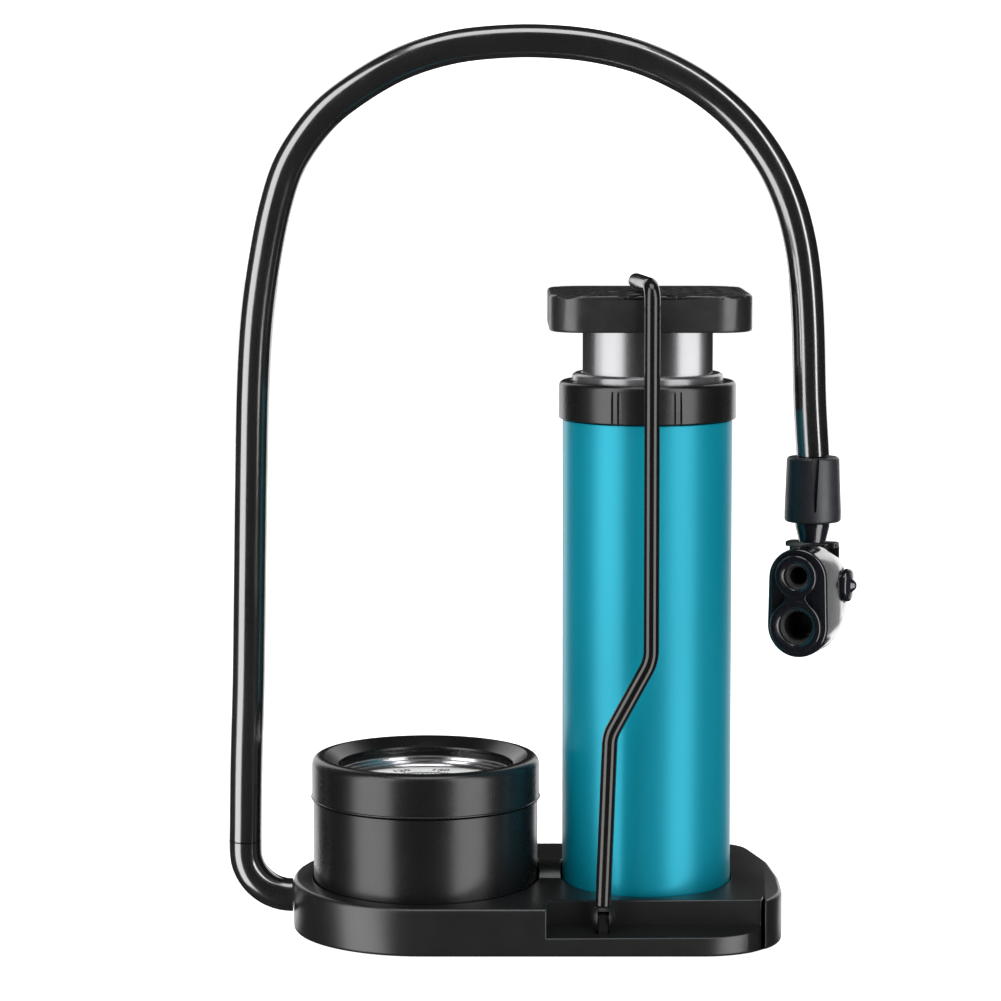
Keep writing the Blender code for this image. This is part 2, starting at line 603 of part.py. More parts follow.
def build_head_trim(plastic, rubber, head):
    f = FACE_Y - GAP
    rings = (("port_ring_upper", UPPER_PORT_Z, 3.4, 5.7), ("port_ring_lower", LOWER_PORT_Z, 4.7, 7.1))
    for name, z, r_in, r_out in rings:
        rim = [(r_in, f), (r_in + 0.4, f - 1.0), (r_in + 1.0, f - 1.3), (r_out - 0.5, f - 1.3),
               (r_out, f - 0.8), (r_out, f)]
        turned(name, rim, plastic, (0, 0, z), head, 20, "Y")
    seals = (("presta_seal", UPPER_PORT_Z, 2.4, 3.9), ("schrader_seal", LOWER_PORT_Z, 3.9, 5.3))
    for name, z, r_in, r_out in seals:
        seal = [(r_in, -3.2), (r_out, -3.2), (r_out, -12.2), (r_in + 0.7, -12.2), (r_in, -11.2)]
        turned(name, seal, rubber, (0, 0, z), head, 20, "Y")
    pin = [(0.0, -7.0), (1.25, -7.0), (1.25, 7.5), (4.4, 7.5), (4.4, 8.6), (3.9, 9.2), (1.6, 9.6),
           (0.7, 10.6), (0.0, 10.8)]
    turned("lever_pin", pin, plastic, (0, LEVER_Y, LEVER_Z), head, 16, "X")


def build_head_lever(plastic, lever_axis):
    """Measured from the lever's pin."""
    lever = box("head_lever", (-9.9, 1.4, 9.4), (4.2, 6.2, 10.8), plastic, parent=lever_axis)
    skirt = box("add_lever_skirt", (-9.9, 5.0, 4.8), (4.2, 6.2, 10.0), parent=lever_axis)
    arm = box("add_lever_arm", (-2.5, -1.5, -0.5), (2.5, 2.2, 10.6), parent=lever_axis)
    hub = turned("add_lever_hub", disc(2.5, -2.5, 2.5), parent=lever_axis, steps=24, axis="X")
    for tool in (skirt, arm, hub):
        combine(lever, tool, "UNION")
    bore(lever, "lever_hole", 1.35, -4.0, 4.0, parent=lever_axis, steps=20, axis="X")


def build_hose_end(rubber_plastic, plastic, head):
    collar = [(0.0, 109.8), (6.9, 109.8), (7.5, 110.5), (7.5, 112.5), (6.95, 126.2), (6.5, 127.1),
              (0.0, 127.1)]
    part = turned("hose_collar", collar, rubber_plastic, parent=head, steps=20)
    groove = [(-1.1, 128.0), (1.1, 128.0), (0.25, 113.0), (-0.25, 113.0)]
    tool = skinned("cut_collar_groove", [[(x, y, z) for x, z in groove] for y in (-9.0, -6.0)],
                   at=(HEAD_X, 0, 0))
    combine(part, tool)
    neck = [(0.0, 104.3), (3.6, 104.3), (3.9, 105.2), (3.8, 106.0), (4.6, 108.4), (4.6, 109.5),
            (0.0, 109.5)]
    turned("hose_neck", neck, plastic, parent=head, steps=20)


def build():
    clear_scene()
    plastic = material("black_plastic", (0.018, 0.018, 0.020), 0.34)
    satin = material("satin_plastic", (0.022, 0.022, 0.024), 0.45)
    soft = material("grip_plastic", (0.035, 0.038, 0.045), 0.55)
    rubber = material("rubber", (0.020, 0.020, 0.020), 0.60)
    hose_rubber = material("hose_rubber", (0.020, 0.020, 0.020), 0.25)
    teal = material("teal_anodised", (0.010, 0.330, 0.440), 0.28, 0.6)
    chrome = material("chrome", (0.80, 0.80, 0.82), 0.08, 1.0)
    silver = material("silver_ring", (0.75, 0.75, 0.76), 0.20, 1.0)
    alloy = material("alloy", (0.60, 0.61, 0.62), 0.35, 1.0)
    brass = material("brass", (0.72, 0.53, 0.24), 0.30, 1.0)
    steel = material("steel", (0.45, 0.45, 0.47), 0.35, 1.0)
    black_steel = material("black_steel", (0.030, 0.028, 0.027), 0.30, 0.5)
    grey = material("grey_plastic", (0.10, 0.10, 0.105), 0.40)
    white = material("dial_white", (0.82, 0.82, 0.80), 0.45)
    clear = material("clear_lens", (0.95, 0.96, 0.97), 0.03, 0.0, 0.3)

    plunger_axis = empty("plunger_axis", (BARREL_X, 0, 0))
    bail_swing = empty("bail_swing", (BAIL_X, BAIL_Y, BAIL_Z))
    needle_axis = empty("needle_axis", (GAUGE_X, 0, 0))
    sector_axis = empty("sector_axis", (GAUGE_X, SECTOR_Y, 0))
    head = empty("head_frame", (HEAD_X, 0, 0), HEAD_TURN)
    lever_axis = empty("lever_axis", (0, LEVER_Y, LEVER_Z))
    lever_axis.parent = head

    build_base_shell(plastic)
    build_base_plate(satin)
    build_feet_and_screws(rubber, steel)
    build_air_pipe(brass)
    build_gauge_case(plastic, clear, silver)
    build_dial_and_needle(white, plastic, brass, needle_axis)
    build_gauge_movement(brass, steel, sector_axis)
    build_barrel(teal, plastic, alloy, rubber, grey)
    build_plunger(chrome, alloy, rubber, steel, plunger_axis)
    build_pedal(satin, plunger_axis)
    build_bail(black_steel, plastic, bail_swing)
    build_hose(hose_rubber)
    build_head_body(plastic, head)
    build_head_trim(plastic, rubber, head)
    build_head_lever(satin, lever_axis)
    build_hose_end(soft, plastic, head)


build()
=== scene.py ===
"""Looks of the compact foot pump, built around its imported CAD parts.

Sizes here are in millimetres unless a name says otherwise; MM turns them into metres.
"""
import math

import bmesh
import bpy
from mathutils import Matrix, Vector


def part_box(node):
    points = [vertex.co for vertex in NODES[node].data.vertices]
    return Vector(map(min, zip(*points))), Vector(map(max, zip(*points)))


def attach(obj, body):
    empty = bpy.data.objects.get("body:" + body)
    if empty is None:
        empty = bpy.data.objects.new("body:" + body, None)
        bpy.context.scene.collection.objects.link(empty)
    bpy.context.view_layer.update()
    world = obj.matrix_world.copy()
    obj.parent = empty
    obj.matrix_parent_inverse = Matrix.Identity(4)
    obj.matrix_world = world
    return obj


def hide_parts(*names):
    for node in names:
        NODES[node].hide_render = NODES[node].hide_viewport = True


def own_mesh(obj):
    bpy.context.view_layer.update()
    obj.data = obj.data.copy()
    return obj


MM = 0.001
GAP = 0.3
BASE_LEFT = -65.0
BASE_HALF = 35.0
BASE_FRONT_TOP = 13.0
BASE_SLOPE = 0.035
AIR_Z = 8.8
BAIL = (17.1, -30.0, 10.0)
HEAD_TURN = math.radians(-24.0)
UPPER_PORT_Z = 96.5
LOWER_PORT_Z = 83.2
LEVER_PIN = (0.0, 4.8, 92.5)
FACE_Y = -12.5
NEEDLE_TURN = math.radians(-57.0)

# camera, in metres, with its pitch in radians and its lens in millimetres on a 36 mm sensor
CAMERA_AT = (-0.00953, -0.8855, 0.215)
CAMERA_PITCH = 0.0822
CAMERA_LENS = 120.34
CAMERA_SHIFT = -0.0999

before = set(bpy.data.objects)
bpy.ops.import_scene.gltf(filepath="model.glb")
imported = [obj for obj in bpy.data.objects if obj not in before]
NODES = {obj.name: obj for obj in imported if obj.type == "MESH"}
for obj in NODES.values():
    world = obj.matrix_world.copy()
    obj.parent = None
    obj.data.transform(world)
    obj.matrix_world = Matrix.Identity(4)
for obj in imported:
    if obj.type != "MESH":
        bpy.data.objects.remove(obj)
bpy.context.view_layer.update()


def middle_of(node):
    """Where a node's vertical middle line stands on the ground plane."""
    low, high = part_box(node)
    return (round((low[0] + high[0]) / 2 / MM, 2), round((low[1] + high[1]) / 2 / MM, 2), 0.0)


GAUGE = middle_of("gauge_housing")
BARREL = middle_of("barrel")
HEAD_X = middle_of("hose_collar")[0]
SPRING_LOW, SPRING_HIGH = (corner[2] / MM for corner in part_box("return_spring"))


# ---------------------------------------------------------------- materials

def shader_of(mat):
    return mat.node_tree.nodes["Principled BSDF"]


def add_node(mat, kind, **values):
    """A node with its properties and input values set by name."""
    node = mat.node_tree.nodes.new(kind)
    for key, value in values.items():
        if key in node.inputs:
            node.inputs[key].default_value = value
        else:
            setattr(node, key.lower(), value)
    return node


def noise(mat, scale, detail=3.0, roughness=0.5, stretch=(1.0, 1.0, 1.0)):
    """Noise in the object's own coordinates, per metre; stretch squeezes it along an axis."""
    place = add_node(mat, "ShaderNodeTexCoord")
    mapping = add_node(mat, "ShaderNodeMapping", Scale=stretch)
    texture = add_node(mat, "ShaderNodeTexNoise", Scale=scale, Detail=detail, Roughness=roughness)
    mat.node_tree.links.new(place.outputs["Object"], mapping.inputs["Vector"])
    mat.node_tree.links.new(mapping.outputs["Vector"], texture.inputs["Vector"])
    return texture.outputs["Fac"]


def spread(mat, value, low, high):
    """Map the middle of a noise's range onto low to high."""
    node = add_node(mat, "ShaderNodeMapRange")
    for key, amount in (("From Min", 0.35), ("From Max", 0.65), ("To Min", low), ("To Max", high)):
        node.inputs[key].default_value = amount
    mat.node_tree.links.new(value, node.inputs["Value"])
    return node.outputs["Result"]


def tint(mat, value, dark, light):
    """Colour that runs from dark to light with a value."""
    ramp = add_node(mat, "ShaderNodeValToRGB")
    ramp.color_ramp.elements[0].position = 0.3
    ramp.color_ramp.elements[0].color = (*dark, 1.0)
    ramp.color_ramp.elements[1].position = 0.7
    ramp.color_ramp.elements[1].color = (*light, 1.0)
    mat.node_tree.links.new(value, ramp.inputs["Fac"])
    mat.node_tree.links.new(ramp.outputs["Color"], shader_of(mat).inputs["Base Color"])


def bump(mat, value, height):
    """Relief of a height in metres."""
    node = add_node(mat, "ShaderNodeBump", Strength=1.0, Distance=height)
    mat.node_tree.links.new(value, node.inputs["Height"])
    mat.node_tree.links.new(node.outputs["Normal"], shader_of(mat).inputs["Normal"])


def surface(name, colour, roughness, metallic=0.0, vary=0.12, patch=60.0, rough_vary=0.04,
            grain=1400.0, grain_depth=0.04, stretch=(1.0, 1.0, 1.0), coat=0.0, specular=0.5):
    """A moulded or machined finish: soft colour patches, uneven gloss and a fine grain."""
    mat = bpy.data.materials.new(name)
    mat.use_nodes = True
    shader = shader_of(mat)
    shader.inputs["Metallic"].default_value = metallic
    shader.inputs["Coat Weight"].default_value = coat
    shader.inputs["Coat Roughness"].default_value = 0.08
    shader.inputs["Specular IOR Level"].default_value = specular
    patches = noise(mat, patch, detail=4.0)
    dark = [c * (1.0 - vary) for c in colour]
    light = [min(1.0, c * (1.0 + vary)) for c in colour]
    tint(mat, patches, dark, light)
    smears = noise(mat, patch * 3.0, detail=5.0, roughness=0.6, stretch=stretch)
    low = max(0.02, roughness - rough_vary)
    mat.node_tree.links.new(spread(mat, smears, low, roughness + rough_vary), shader.inputs["Roughness"])
    if grain_depth > 0.0:
        bump(mat, noise(mat, grain, detail=2.0, stretch=stretch), grain_depth * MM)
    return mat


def clear_material():
    """Thin clear window: see-through, with a faint gloss on it."""
    mat = surface("clear_window", (0.10, 0.10, 0.10), 0.05, vary=0.01, grain_depth=0.0, rough_vary=0.02)
    shader_of(mat).inputs["Alpha"].default_value = 0.07
    return mat


PLASTIC = surface("black_plastic", (0.0030, 0.0030, 0.0031), 0.275, specular=0.37, grain_depth=0.003,
                  patch=25.0, rough_vary=0.02)
BASE_PLASTIC = surface("base_plastic", (0.0045, 0.0045, 0.0046), 0.31, specular=0.47, grain=1500.0,
                       grain_depth=0.004, patch=40.0, rough_vary=0.02)
SATIN = surface("satin_plastic", (0.0065, 0.0065, 0.0067), 0.33, grain=1800.0, grain_depth=0.015)
GRIP = surface("grip_plastic", (0.0075, 0.0088, 0.0115), 0.45, grain=2200.0, grain_depth=0.05,
               patch=90.0, vary=0.25)
GLOSS = surface("gloss_plastic", (0.0045, 0.0050, 0.0070), 0.16, grain=500.0, grain_depth=0.03,
                coat=0.4, patch=80.0)
RUBBER = surface("rubber", (0.008, 0.008, 0.008), 0.55, grain=1600.0, grain_depth=0.03)
HOSE_RUBBER = surface("hose_rubber", (0.0060, 0.0060, 0.0060), 0.20, grain=700.0, grain_depth=0.006,
                      stretch=(1.0, 1.0, 0.2), coat=1.0, specular=1.0)
TEAL = surface("teal_anodised", (0.0, 0.160, 0.220), 0.36, metallic=0.42, vary=0.04, patch=18.0,
               grain=2600.0, grain_depth=0.003, stretch=(1.0, 1.0, 0.05), specular=0.25)
CHROME = surface("chrome", (0.54, 0.54, 0.552), 0.28, metallic=1.0, vary=0.02, rough_vary=0.02,
                 grain=900.0, grain_depth=0.002, stretch=(1.0, 1.0, 0.05))
SILVER = surface("silver_ring", (0.42, 0.42, 0.43), 0.18, metallic=1.0, vary=0.10, rough_vary=0.06,
                 grain=420.0, grain_depth=0.08, stretch=(0.4, 0.4, 3.0))
ALLOY = surface("alloy", (0.60, 0.61, 0.62), 0.34, metallic=1.0, grain_depth=0.02)
BRASS = surface("brass", (0.72, 0.53, 0.24), 0.28, metallic=1.0, vary=0.10)
STEEL = surface("steel", (0.46, 0.46, 0.48), 0.32, metallic=1.0, vary=0.10)
COATED_STEEL = surface("black_steel", (0.0030, 0.0028, 0.0026), 0.15, grain_depth=0.004, coat=0.1,
                       stretch=(1.0, 1.0, 0.1), specular=0.35)
DARK_NYLON = surface("dark_nylon", (0.0020, 0.0020, 0.0020), 0.45, specular=0.25, grain_depth=0.02)
GREY = surface("grey_plastic", (0.020, 0.020, 0.021), 0.34, grain_depth=0.02)
WIPER_GREY = surface("wiper_grey", (0.13, 0.13, 0.135), 0.22, metallic=0.6, grain_depth=0.01)
DIAL_WHITE = surface("dial_white", (0.86, 0.86, 0.85), 0.45, vary=0.02, grain=2500.0, grain_depth=0.004)
CLEAR = clear_material()
INK = surface("dial_ink", (0.010, 0.010, 0.012), 0.5, vary=0.05, grain=3000.0, grain_depth=0.004)

FINISHES = {
    "air_pipe": BRASS, "bail_lug": DARK_NYLON, "bail_pin": STEEL, "barrel_foot": ALLOY, "barrel_seal": RUBBER,
    "base_plate": SATIN, "bourdon_tube": BRASS, "check_valve": RUBBER, "gauge_socket": BRASS,
    "guide_bush": GREY, "movement_plate": BRASS, "needle_arbor": BRASS, "piston": ALLOY,
    "piston_seal": RUBBER, "presta_seal": RUBBER, "schrader_seal": RUBBER,
    "sector_gear": STEEL}


# ---------------------------------------------------------------- shapes

SHARP = 35.0    # edges with more degrees between their faces are shaded sharp


def arc(centre, radius, start, end, steps):
    """Points on an arc in the plane, with angles in degrees."""
    angles = [math.radians(start + (end - start) * k / steps) for k in range(steps + 1)]
    return [(centre[0] + radius * math.cos(a), centre[1] + radius * math.sin(a)) for a in angles]


def eased(corners, closed=True, steps=6):
    """Round the corners (a, b, radius) of an outline; a corner with no radius stays sharp."""
    points = []
    count = len(corners)
    for k, corner in enumerate(corners):
        here = Vector(corner[:2])
        radius = corner[2] if len(corner) > 2 else 0.0
        if radius == 0.0 or (not closed and k in (0, count - 1)):
            points.append(tuple(here))
            continue
        back = (Vector(corners[k - 1][:2]) - here).normalized()
        ahead = (Vector(corners[(k + 1) % count][:2]) - here).normalized()
        half = math.acos(max(-1.0, min(1.0, back.dot(ahead)))) / 2
        centre = here + (back + ahead).normalized() * (radius / math.sin(half))
        first = here + back * (radius / math.tan(half)) - centre
        last = here + ahead * (radius / math.tan(half)) - centre
        sweep = first.angle_signed(last)
        for s in range(steps + 1):
            a = -sweep * s / steps
            points.append((centre.x + first.x * math.cos(a) - first.y * math.sin(a),
                           centre.y + first.x * math.sin(a) + first.y * math.cos(a)))
    return points


def finished(name, bm, mat, place=None, sharp=SHARP):
    """Turn a bmesh in millimetres into a smooth-shaded object; place is a matrix in metres."""
    bmesh.ops.remove_doubles(bm, verts=bm.verts, dist=1e-4)
    bmesh.ops.recalc_face_normals(bm, faces=bm.faces)
    bmesh.ops.scale(bm, vec=(MM, MM, MM), verts=bm.verts)
    mesh = bpy.data.meshes.new(name)
    bm.to_mesh(mesh)
    bm.free()
    mesh.shade_smooth()
    mesh.set_sharp_from_angle(angle=math.radians(sharp))
    mesh.materials.append(mat)
    obj = bpy.data.objects.new(name, mesh)
    bpy.context.scene.collection.objects.link(obj)
    if place is not None:
        obj.matrix_world = place
    return obj


def at(point, turn=0.0):
    """Frame at a point in millimetres, turned about Z."""
    return Matrix.Translation(Vector(point) * MM) @ Matrix.Rotation(turn, 4, "Z")


def in_head(point=(0.0, 0.0, 0.0)):
    """Frame of the pump head, with its own y pointing back."""
    return at((HEAD_X, 0.0, 0.0), HEAD_TURN) @ Matrix.Translation(Vector(point) * MM)


def spun(name, profile, mat, place=None, steps=96, axis="Z", sharp=SHARP):
    """Turn a closed outline of (radius, height); a radius of 0 lies on the axis."""
    bm = bmesh.new()
    verts = [bm.verts.new((r, 0.0, z)) for r, z in profile]
    pairs = list(zip(verts, verts[1:] + verts[:1]))
    edges = [bm.edges.new(p) for p in pairs if p[0].co.x > 0.0 or p[1].co.x > 0.0]
    bmesh.ops.spin(bm, geom=verts + edges, cent=(0, 0, 0), axis=(0, 0, 1), dvec=(0, 0, 0),
                   angle=2 * math.pi, steps=steps, use_merge=True, use_duplicate=False)
    for v in bm.verts:
        x, y, z = v.co
        if axis == "X":
            v.co = (z, x, y)
        if axis == "Y":
            v.co = (y, z, x)
    return finished(name, bm, mat, place, sharp)


def lofted(name, sections, mat, place=None):
    """Join matching outlines one to the next and close both ends."""
    bm = bmesh.new()
    rows = [[bm.verts.new(p) for p in section] for section in sections]
    count = len(rows[0])
    bm.faces.new(rows[0])
    bm.faces.new(rows[-1])
    for low, high in zip(rows, rows[1:]):
        for k in range(count):
            n = (k + 1) % count
            bm.faces.new((low[k], low[n], high[n], high[k]))
    return finished(name, bm, mat, place)


def slab(name, outline, low, high, mat, place=None):
    """Upright block of an outline between two heights."""
    return lofted(name, [[(x, y, z) for x, y in outline] for z in (low, high)], mat, place)


def carved(obj, tools, operation="DIFFERENCE"):
    """Cut or add the tools for good and drop them."""
    for tool in tools:
        modifier = obj.modifiers.new(tool.name, "BOOLEAN")
        modifier.operation = operation
        modifier.object = tool
        modifier.solver = "EXACT"
    bpy.context.view_layer.update()
    graph = bpy.context.evaluated_depsgraph_get()
    mesh = bpy.data.meshes.new_from_object(obj.evaluated_get(graph))
    obj.modifiers.clear()
    obj.data = mesh
    mesh.shade_smooth()
    mesh.set_sharp_from_angle(angle=math.radians(SHARP))
    for tool in tools:
        bpy.data.objects.remove(tool, do_unlink=True)
    return obj


def soften(obj, width, segments=3, angle=35.0):
    """Small rounds on the sharp outer edges, so that they catch the light."""
    bm = bmesh.new()
    bm.from_mesh(obj.data)
    bmesh.ops.remove_doubles(bm, verts=bm.verts, dist=0.02 * MM)
    bmesh.ops.dissolve_limit(bm, angle_limit=0.002, verts=bm.verts, edges=bm.edges)
    weight = bm.edges.layers.float.new("bevel_weight_edge")
    for edge in bm.edges:
        if edge.is_manifold and edge.is_convex and edge.calc_face_angle() > math.radians(angle):
            edge[weight] = 1.0
    bm.to_mesh(obj.data)
    bm.free()
    modifier = obj.modifiers.new("edge", "BEVEL")
    modifier.use_clamp_overlap = False
    modifier.width = width * MM
    modifier.segments = segments
    modifier.limit_method = "WEIGHT"
    modifier.harden_normals = True
    return obj


def wire(name, points, radius, mat, place=None, tip=(), sides=6):
    """Round bar along points; tip holds the size of the last points, for a rounded end."""
    curve = bpy.data.curves.new(name, "CURVE")
    curve.dimensions = "3D"
    curve.bevel_depth = radius * MM
    curve.bevel_resolution = sides
    curve.use_fill_caps = True
    spline = curve.splines.new("POLY")
    spline.points.add(len(points) - 1)
    for point, co in zip(spline.points, points):
        point.co = (co[0] * MM, co[1] * MM, co[2] * MM, 1.0)
    for point, size in zip(reversed(spline.points), tip):
        point.radius = size
    spline.use_smooth = True
    curve.materials.append(mat)
    obj = bpy.data.objects.new(name, curve)
    bpy.context.scene.collection.objects.link(obj)
    if place is not None:
        obj.matrix_world = place
    return obj


def meshed(obj):
    """Mesh object in place of a curve or text object."""
    bpy.context.view_layer.update()
    graph = bpy.context.evaluated_depsgraph_get()
    mesh = bpy.data.meshes.new_from_object(obj.evaluated_get(graph))
    solid = bpy.data.objects.new(obj.name, mesh)
    solid.matrix_world = obj.matrix_world
    bpy.context.scene.collection.objects.link(solid)
    bpy.data.objects.remove(obj, do_unlink=True)
    return solid


def rounded_route(corners, steps=14):
    """Round each (x, y, z, radius) corner of an open route with an arc."""
    points = [tuple(corners[0][:3])]
    for before, corner, after in zip(corners, corners[1:], corners[2:]):
        here = Vector(corner[:3])
        back = (Vector(before[:3]) - here).normalized()
        ahead = (Vector(after[:3]) - here).normalized()
        half = back.angle(ahead) / 2
        centre = here + (back + ahead).normalized() * (corner[3] / math.sin(half))
        first = here + back * (corner[3] / math.tan(half)) - centre
        last = here + ahead * (corner[3] / math.tan(half)) - centre
        sweep = first.angle(last)
        for s in range(steps + 1):
            a = sweep * s / steps
            step = first * math.sin(sweep - a) + last * math.sin(a)
            points.append(tuple(centre + step / math.sin(sweep)))
    points.append(tuple(corners[-1][:3]))
    return points


def smooth_through(points, steps):
    """Points along a Catmull-Rom curve, steps of them for each stretch."""
    knots = [Vector(p) for p in points]
    knots = [2 * knots[0] - knots[1]] + knots + [2 * knots[-1] - knots[-2]]
    fine = []
    for a, b, c, d in zip(knots, knots[1:], knots[2:], knots[3:]):
        for s in range(steps):
            t = s / steps
            fine.append(tuple(0.5 * (2 * b + (c - a) * t + (2 * a - 5 * b + 4 * c - d) * t * t
                                     + (3 * b - a - 3 * c + d) * t ** 3)))
    fine.append(tuple(knots[-2]))
    return fine


def rides(obj, body, *nodes):
    """The piece moves with a body and may stand for CAD nodes."""
    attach(obj, body)
    if nodes:
        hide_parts(*nodes)
    return obj


# ---------------------------------------------------------------- hose

HOSE_ROUTE = [(-78.0, 0, 23.8), (-77.6, 0, 45.4), (-76.9, 0, 66.9), (-76.3, 0, 99.3), (-75.9, 0, 120.8),
              (-75.3, 0, 145.1), (-74.1, 0, 163.9), (-71.8, 0, 180.2), (-68.9, 0, 194.0), (-65.0, 0, 205.2),
              (-57.9, 0, 215.6), (-49.6, 0, 223.0), (-36.7, 0, 230.7), (-23.3, 0, 235.1), (-9.9, 0, 236.8),
              (3.4, 0, 236.9), (16.8, 0, 235.4), (30.1, 0, 231.7), (43.0, 0, 225.1), (53.7, 0, 216.2),
              (61.6, 0, 205.8), (66.6, 0, 195.4), (69.6, 0, 184.9), (71.2, 0, 174.4), (72.1, 0, 161.3),
              (72.7, 0, 142.4), (73.6, 0, 127.4)]
HOSE_R = 4.4
ELBOW_R = 12.5


def build_hose(with_pieces):
    points = smooth_through(HOSE_ROUTE, 6)
    hose = wire("hose_skin", points, HOSE_R, HOSE_RUBBER, sides=10)
    rides(hose, "base", "hose")
    x, _, z = HOSE_ROUTE[0]
    corners = [(BASE_LEFT - GAP, 0, AIR_Z, 0), (x, 0, AIR_Z, ELBOW_R), (x, 0, z - GAP, 0)]
    bend = rounded_route(corners, steps=20)
    elbow = wire("hose_elbow_skin", bend, HOSE_R, HOSE_RUBBER, sides=10)
    return [hose, rides(elbow, "base", "hose_elbow")]


# ---------------------------------------------------------------- base

def base_outline(inset, front_corner=22.0):
    """Plan of the base: a round left end and a tapered right end with soft corners."""
    d = BASE_HALF - inset
    return eased([(BASE_LEFT + inset, -d, d), (64.6 - inset, -d, front_corner - inset),
                  (65.0 - inset, -2.0, 20.0), (63.4 - inset, 14.0, 30.0),
                  (57.5 - inset, d, 9.0 - inset), (BASE_LEFT + inset, d, d)], steps=22)


def build_base():
    rows = [(0.9, 0.4), (0.4, 0.55), (0.1, 0.9), (0.0, 1.4)]
    sections = [[(x, y, z) for x, y in base_outline(inset)] for inset, z in rows]
    for inset, drop in ((0.0, 1.1), (0.08, 0.72), (0.32, 0.34), (0.7, 0.09), (1.1, 0.0)):
        sections.append([(x, y, BASE_FRONT_TOP + BASE_SLOPE * (y + BASE_HALF) - drop)
                         for x, y in base_outline(inset)])
    shell = lofted("base_body", sections, BASE_PLASTIC)
    saddle = spun("tool_saddle", eased([(0.0, -4.3), (10.0, -4.3, 1.0), (10.0, 14.1, 1.0), (0.0, 14.1)],
                                       closed=False),
                  BASE_PLASTIC, at((0, 4.2, 7.55)), steps=72, axis="X")
    carved(shell, [saddle], "UNION")
    side = [(-45.0, 4.35), (-25.5, 6.6), (-25.5, 30.0), (-45.0, 30.0)]
    trough = lofted("tool_trough", [[(x, y, z) for y, z in side] for x in (2.4, 59.5)], BASE_PLASTIC)
    notch = arc((45.5, -21.0), 14.0, -50.0, 0.0, 16)
    notch += [(59.5, -40.0), (notch[0][0], -40.0)]
    tools = [trough, slab("tool_notch", notch, -7.0, 29.0, BASE_PLASTIC)]
    for name, x, r in (("gauge", GAUGE[0], 30.3), ("barrel", BARREL[0], 22.8)):
        seat = [(0.0, 12.2), (r, 12.2), (r, 40.0), (0.0, 40.0)]
        tools.append(spun(f"tool_{name}", seat, BASE_PLASTIC, at((x, 0, 0)), steps=96))
    tools.append(slab("tool_plate", base_outline(1.8, 31.0), -6.0, 3.3, BASE_PLASTIC))
    tools.append(slab("tool_lug", [(-1.5, -1.8), (1.5, -1.8), (1.5, 1.8), (-1.5, 1.8)], 4.3, 9.0,
                      BASE_PLASTIC, at((BAIL[0], BAIL[1], 0))))
    tools.append(spun("tool_air", [(0.0, -70.0), (1.75, -70.0), (1.75, -60.0), (0.0, -60.0)],
                      BASE_PLASTIC, at((0, 0, AIR_Z)), steps=24, axis="X"))
    carved(shell, tools)
    soften(shell, 0.4, 3, 50.0)
    rides(shell, "base", "base_shell")


def build_feet_and_screws():
    for k, (x, y) in enumerate([(-55.0, -9.0), (-55.0, 9.0), (42.0, -24.0), (41.0, 25.0)], 1):
        pad = eased([(0.0, 0.0), (5.0, 0.0, 0.4), (5.0, 1.5, 0.2), (0.0, 1.5)], closed=False, steps=4)
        rides(spun(f"foot_pad_{k}", pad, RUBBER, at((x, y, 0)), steps=40), "base", f"base_foot_{k}")
    for k, (x, y) in enumerate([(-50.5, -20.5), (-50.5, 20.5), (56.0, -13.0), (52.0, 24.0)], 1):
        shape = eased([(0.0, 0.6), (2.0, 0.6, 0.5), (2.6, 1.2, 0.2), (2.6, 1.7), (1.2, 1.7), (1.2, 9.1),
                       (0.0, 9.1)], closed=False, steps=4)
        screw = spun(f"screw_{k}", shape, STEEL, at((x, y, 0)), steps=32)
        arms = [(0.3, 0.3), (1.5, 0.3), (1.5, -0.3), (0.3, -0.3), (0.3, -1.5), (-0.3, -1.5), (-0.3, -0.3),
                (-1.5, -0.3), (-1.5, 0.3), (-0.3, 0.3), (-0.3, 1.5), (0.3, 1.5)]
        carved(screw, [slab(f"tool_cross_{k}", arms, -1.0, 1.3, STEEL, at((x, y, 0)))])
        rides(screw, "base", f"base_screw_{k}")


# ---------------------------------------------------------------- gauge

def build_gauge_case():
    housing = eased([(4.3, 12.5), (30.0, 12.5, 0.6), (30.0, 35.1), (29.7, 35.4), (27.0, 35.4), (27.0, 37.9),
                     (23.8, 37.9), (23.8, 33.0), (28.0, 30.0), (28.0, 14.5), (4.3, 14.5)])
    rides(spun("gauge_cup", housing, PLASTIC, at(GAUGE), steps=128), "base", "gauge_housing")
    bezel = eased([(27.3, 35.7), (30.7, 35.7, 0.12), (30.7, 36.0, 0.12), (30.4, 36.15, 0.05),
                   (30.4, 46.9, 2.3), (27.3, 47.0, 0.35), (23.5, 44.6, 0.15),
                   (23.4, 44.1), (27.3, 44.1)], steps=10)
    rides(spun("gauge_rim", bezel, PLASTIC, at(GAUGE), steps=128, sharp=40.0), "base", "gauge_bezel")
    lens = [(0.0, 42.4), (26.9, 42.4), (26.9, 43.8), (23.0, 43.8), (18.0, 44.1), (10.0, 44.4), (0.0, 44.5)]
    rides(spun("gauge_window", lens, CLEAR, at(GAUGE), steps=96), "base", "gauge_lens")
    wall = [(23.4, 39.3), (24.1, 40.0), (23.8, 40.1), (24.3, 40.9), (23.9, 41.0), (24.1, 41.7), (23.7, 42.1),
            (26.9, 42.1), (26.9, 39.3)]
    ring = rides(spun("gauge_wall", wall, SILVER, at(GAUGE), steps=96), "base", "gauge_inner_ring")
    card = eased([(1.3, 38.2), (26.9, 38.2), (26.9, 39.0, 0.2), (1.3, 39.0, 0.2)], steps=3)
    card = rides(spun("gauge_card", card, DIAL_WHITE, at(GAUGE), steps=96), "base", "gauge_dial")
    return [ring, card]


